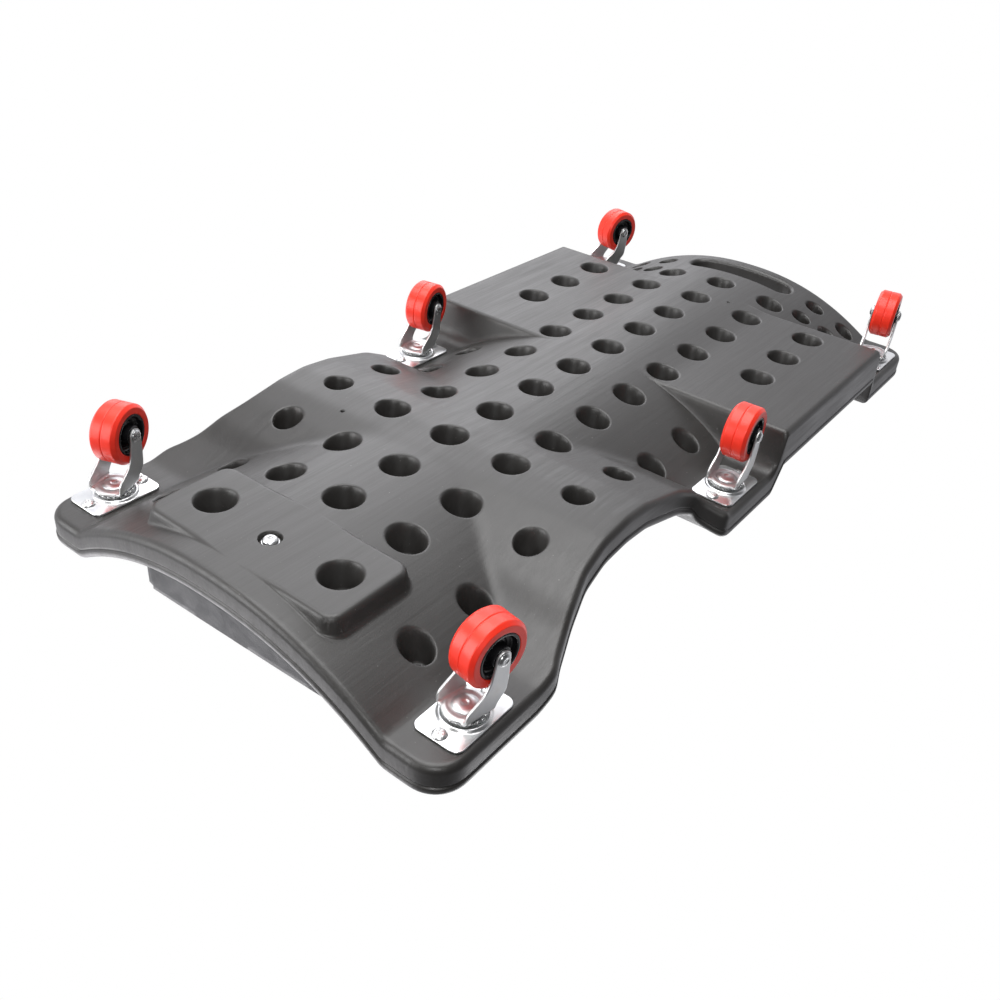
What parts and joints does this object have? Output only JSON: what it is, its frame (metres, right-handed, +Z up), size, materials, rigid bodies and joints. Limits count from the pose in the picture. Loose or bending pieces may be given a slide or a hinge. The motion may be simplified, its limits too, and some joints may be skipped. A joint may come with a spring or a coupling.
{
  "type": "mechanic creeper",
  "caption": "Low hollow plastic deck on swivel casters that carries a mechanic lying on their back, with a headrest, hand slot and tool trays.",
  "frame": {"origin": "on the floor, under the middle of the deck's bounding box", "axes": "+X to the hand slot end, -X to the headrest end, +Z up, wheels down"},
  "size_m": [0.914, 0.452, 0.1137],
  "materials": {
    "deck": "satin moulded polyethylene",
    "zinc": "bright zinc plating",
    "steel": "plain steel",
    "hub": "gloss black",
    "tread": "satin red polyurethane",
    "vinyl": "smooth vinyl over foam",
    "plywood": "raw plywood"
  },
  "bodies": {
    "chassis": {"deck": "deck", "headrest_pad": "vinyl", "headrest_board": "plywood", "headrest_bolt": "zinc", "headrest_washer": "zinc", "headrest_tnut": "zinc", "near_left_plate": "zinc", "near_left_race": "steel", "near_left_kingpin": "zinc", "near_left_screw_near": "zinc", "near_left_screw_far": "zinc", "near_right_plate": "zinc", "near_right_race": "steel", "near_right_kingpin": "zinc", "near_right_screw_near": "zinc", "near_right_screw_far": "zinc", "mid_left_plate": "zinc", "mid_left_race": "steel", "mid_left_kingpin": "zinc", "mid_left_screw_near": "zinc", "mid_left_screw_far": "zinc", "mid_right_plate": "zinc", "mid_right_race": "steel", "mid_right_kingpin": "zinc", "mid_right_screw_near": "zinc", "mid_right_screw_far": "zinc", "far_left_plate": "zinc", "far_left_race": "steel", "far_left_kingpin": "zinc", "far_left_screw_near": "zinc", "far_left_screw_far": "zinc", "far_right_plate": "zinc", "far_right_race": "steel", "far_right_kingpin": "zinc", "far_right_screw_near": "zinc", "far_right_screw_far": "zinc"},
    "near_left_swivel": {"near_left_fork": "zinc", "near_left_axle": "steel"},
    "near_left_wheel": {"near_left_hub": "hub", "near_left_tread": "tread"},
    "near_right_swivel": {"near_right_fork": "zinc", "near_right_axle": "steel"},
    "near_right_wheel": {"near_right_hub": "hub", "near_right_tread": "tread"},
    "mid_left_swivel": {"mid_left_fork": "zinc", "mid_left_axle": "steel"},
    "mid_left_wheel": {"mid_left_hub": "hub", "mid_left_tread": "tread"},
    "mid_right_swivel": {"mid_right_fork": "zinc", "mid_right_axle": "steel"},
    "mid_right_wheel": {"mid_right_hub": "hub", "mid_right_tread": "tread"},
    "far_left_swivel": {"far_left_fork": "zinc", "far_left_axle": "steel"},
    "far_left_wheel": {"far_left_hub": "hub", "far_left_tread": "tread"},
    "far_right_swivel": {"far_right_fork": "zinc", "far_right_axle": "steel"},
    "far_right_wheel": {"far_right_hub": "hub", "far_right_tread": "tread"}
  },
  "joints": [
    {"name": "near_left_swivel_turn", "type": "hinge", "parent": "chassis", "child": "near_left_swivel", "pos_m": [-0.4, -0.1982, 0.0706], "axis": [0, 0, 1], "continuous": true},
    {"name": "near_left_wheel_spin", "type": "hinge", "parent": "near_left_swivel", "child": "near_left_wheel", "pos_m": [-0.38359, -0.20427, 0.0273], "axis": [0.3469, 0.9379, 0], "continuous": true},
    {"name": "near_right_swivel_turn", "type": "hinge", "parent": "chassis", "child": "near_right_swivel", "pos_m": [-0.4, 0.1982, 0.0706], "axis": [0, 0, 1], "continuous": true},
    {"name": "near_right_wheel_spin", "type": "hinge", "parent": "near_right_swivel", "child": "near_right_wheel", "pos_m": [-0.38274, 0.20109, 0.0273], "axis": [-0.165, 0.9863, 0], "continuous": true},
    {"name": "mid_left_swivel_turn", "type": "hinge", "parent": "chassis", "child": "mid_left_swivel", "pos_m": [0, -0.1982, 0.0706], "axis": [0, 0, 1], "continuous": true},
    {"name": "mid_left_wheel_spin", "type": "hinge", "parent": "mid_left_swivel", "child": "mid_left_wheel", "pos_m": [0.01725, -0.20115, 0.0273], "axis": [0.1685, 0.9857, 0], "continuous": true},
    {"name": "mid_right_swivel_turn", "type": "hinge", "parent": "chassis", "child": "mid_right_swivel", "pos_m": [0, 0.1982, 0.0706], "axis": [0, 0, 1], "continuous": true},
    {"name": "mid_right_wheel_spin", "type": "hinge", "parent": "mid_right_swivel", "child": "mid_right_wheel", "pos_m": [0.01748, 0.19735, 0.0273], "axis": [0.0488, 0.9988, 0], "continuous": true},
    {"name": "far_left_swivel_turn", "type": "hinge", "parent": "chassis", "child": "far_left_swivel", "pos_m": [0.4, -0.1982, 0.0706], "axis": [0, 0, 1], "continuous": true},
    {"name": "far_left_wheel_spin", "type": "hinge", "parent": "far_left_swivel", "child": "far_left_wheel", "pos_m": [0.41699, -0.19403, 0.0273], "axis": [-0.2385, 0.9711, 0], "continuous": true},
    {"name": "far_right_swivel_turn", "type": "hinge", "parent": "chassis", "child": "far_right_swivel", "pos_m": [0.4, 0.1982, 0.0706], "axis": [0, 0, 1], "continuous": true},
    {"name": "far_right_wheel_spin", "type": "hinge", "parent": "far_right_swivel", "child": "far_right_wheel", "pos_m": [0.41725, 0.19528, 0.0273], "axis": [0.1668, 0.986, 0], "continuous": true}
  ]
}
